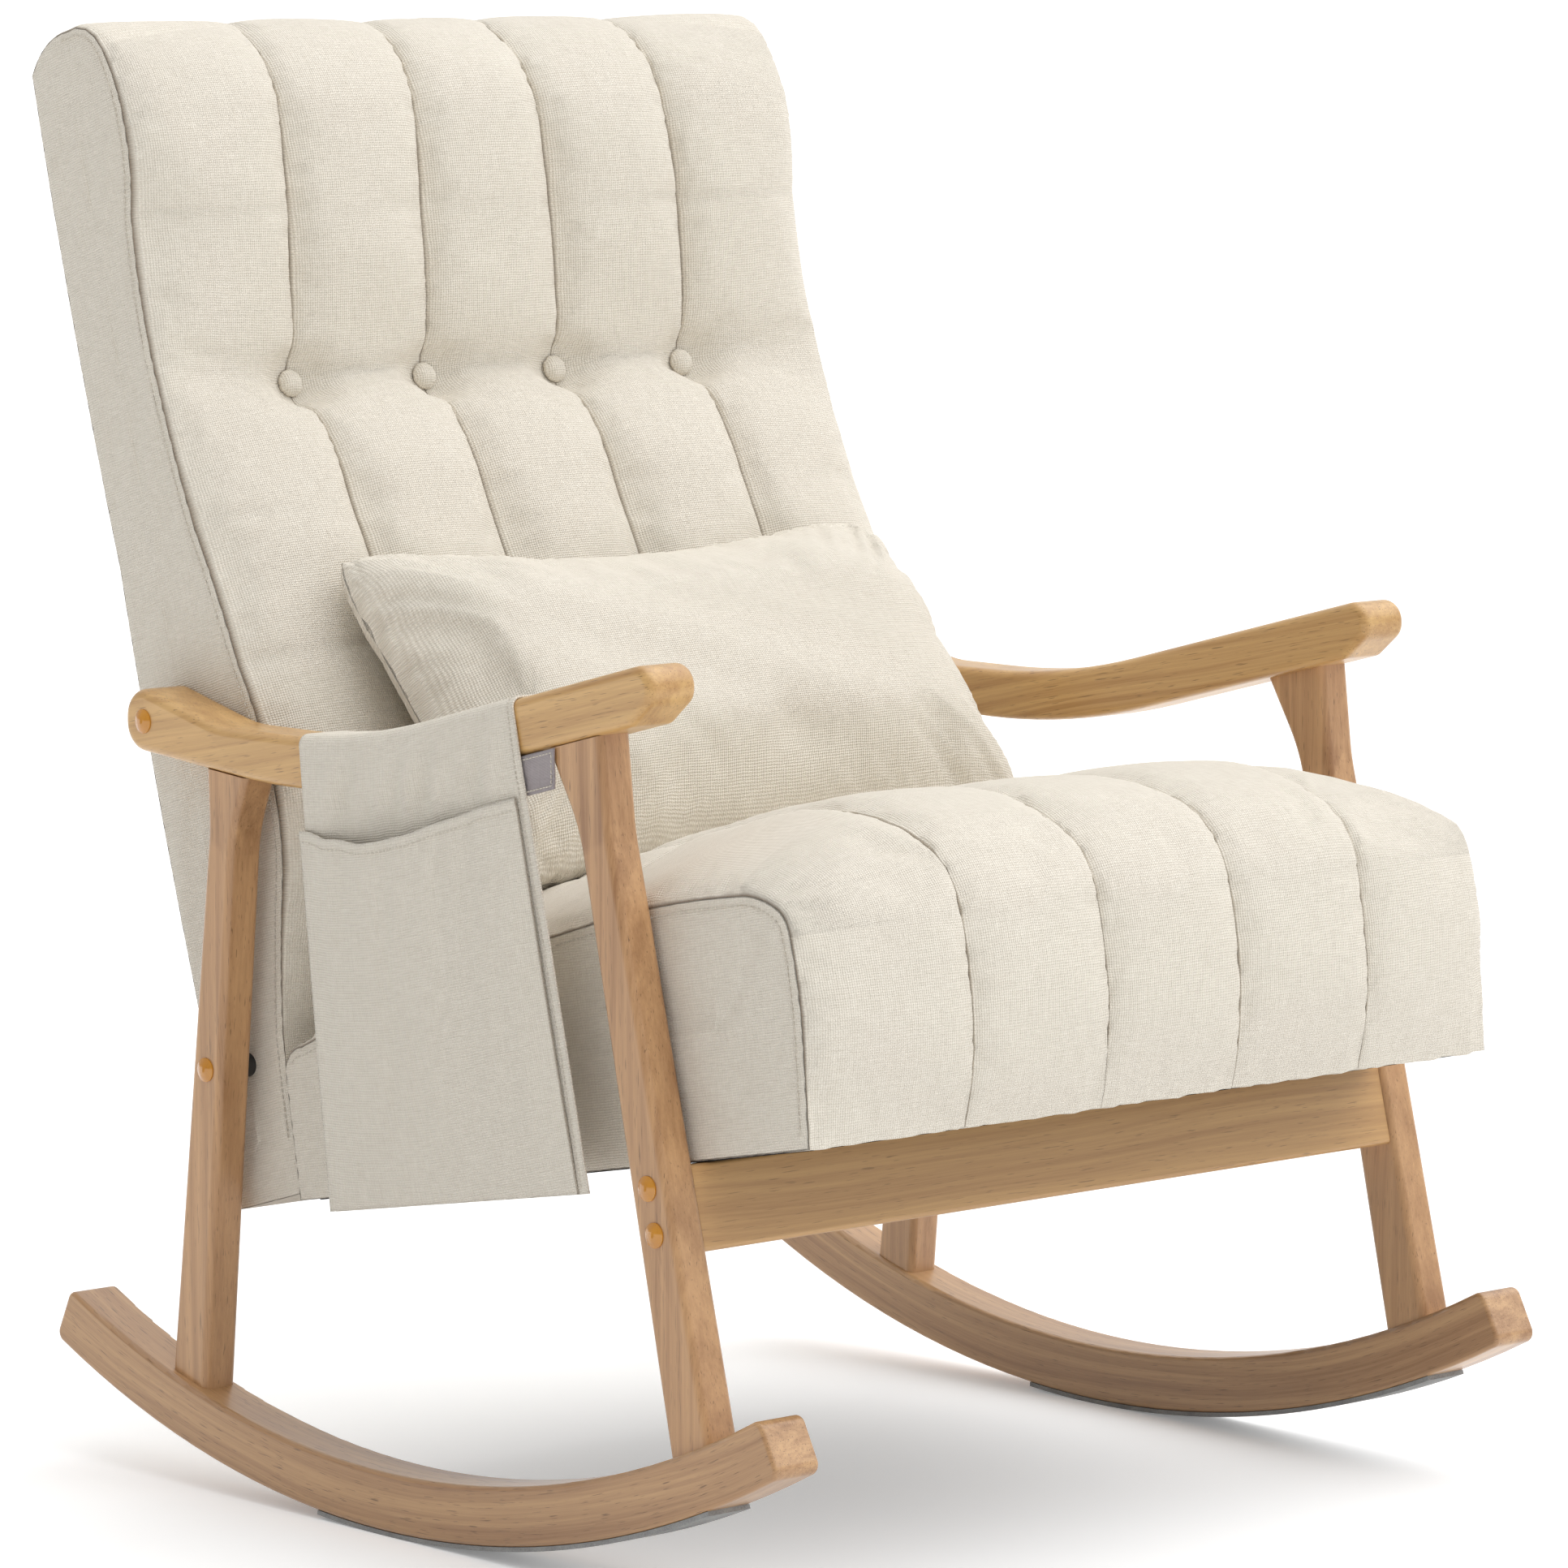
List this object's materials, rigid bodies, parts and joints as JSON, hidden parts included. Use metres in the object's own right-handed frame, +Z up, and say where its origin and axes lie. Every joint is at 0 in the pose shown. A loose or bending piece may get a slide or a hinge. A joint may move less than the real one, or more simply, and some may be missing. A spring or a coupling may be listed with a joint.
{
  "type": "rocking chair",
  "caption": "Upholstered wooden rocking chair with channelled seat and back, sloping arms, curved rockers, a loose lumbar pillow and a cloth pocket over one arm.",
  "frame": {"origin": "On the floor, straight below the centre of the rockers' arc, half way between the two rockers.", "axes": "+Z up, +X to the sitter's left, -Y the way the sitter faces."},
  "size_m": [0.6862, 0.7951, 0.9551],
  "materials": {
    "wood_leg": "light pinkish-brown hardwood under satin lacquer",
    "wood_arm": "light honey hardwood under satin lacquer",
    "wood_frame": "plain sawn hardwood, hidden inside the upholstery",
    "wood_dowel": "fluted beech dowel",
    "felt": "grey felt strip",
    "zinc_steel": "zinc plated",
    "cap_plastic": "glossy amber screw cap",
    "black_plastic": "black spacer",
    "foam": "upholstery foam",
    "linen": "cream plain-weave linen look",
    "lining": "grey-mauve lining cloth",
    "dust_cloth": "black nonwoven dust cloth",
    "webbing": "woven upholstery webbing and twine"
  },
  "bodies": {
    "chair": {"rocker_right": "wood_leg", "rocker_felt_right": "felt", "front_leg_right": "wood_leg", "rear_leg_right": "wood_leg", "armrest_right": "wood_arm", "dowels_right": "wood_dowel", "seat_side_rail_right": "wood_frame", "back_stile_right": "wood_frame", "rocker_left": "wood_leg", "rocker_felt_left": "felt", "front_leg_left": "wood_leg", "rear_leg_left": "wood_leg", "armrest_left": "wood_arm", "dowels_left": "wood_dowel", "seat_side_rail_left": "wood_frame", "back_stile_left": "wood_frame", "front_rail": "wood_leg", "seat_front_board": "wood_frame", "seat_rear_board": "wood_frame", "seat_cross_rail": "wood_frame", "seat_corner_blocks": "wood_frame", "back_top_rail": "wood_frame", "back_button_rail": "wood_frame", "back_bottom_rail": "wood_frame", "rail_bolts": "zinc_steel", "rear_leg_bolts": "zinc_steel", "arm_bolts": "zinc_steel", "bolt_washers": "zinc_steel", "rail_barrel_nuts": "zinc_steel", "frame_inserts": "zinc_steel", "seat_rail_screws": "zinc_steel", "seat_back_bolts": "zinc_steel", "bolt_caps": "cap_plastic", "rear_spacers": "black_plastic", "seat_foam": "foam", "back_foam": "foam", "seat_cover": "linen", "back_cover": "linen", "back_rear_panel": "linen", "seat_dust_cover": "dust_cloth", "seat_webbing": "webbing", "back_webbing": "webbing", "back_button_1": "linen", "back_button_2": "linen", "back_button_3": "linen", "back_button_4": "linen", "button_twines": "webbing", "pocket_hanger": "linen", "pocket_front_panel": "linen", "pocket_strap": "lining"},
    "pillow": {"pillow_cover": "linen", "pillow_filling": "foam"}
  },
  "joints": [
    {"name": "pillow_lift", "type": "slide", "parent": "chair", "child": "pillow", "axis": [0, -0.6402, 0.7682], "range_m": [0, 0.35]}
  ]
}
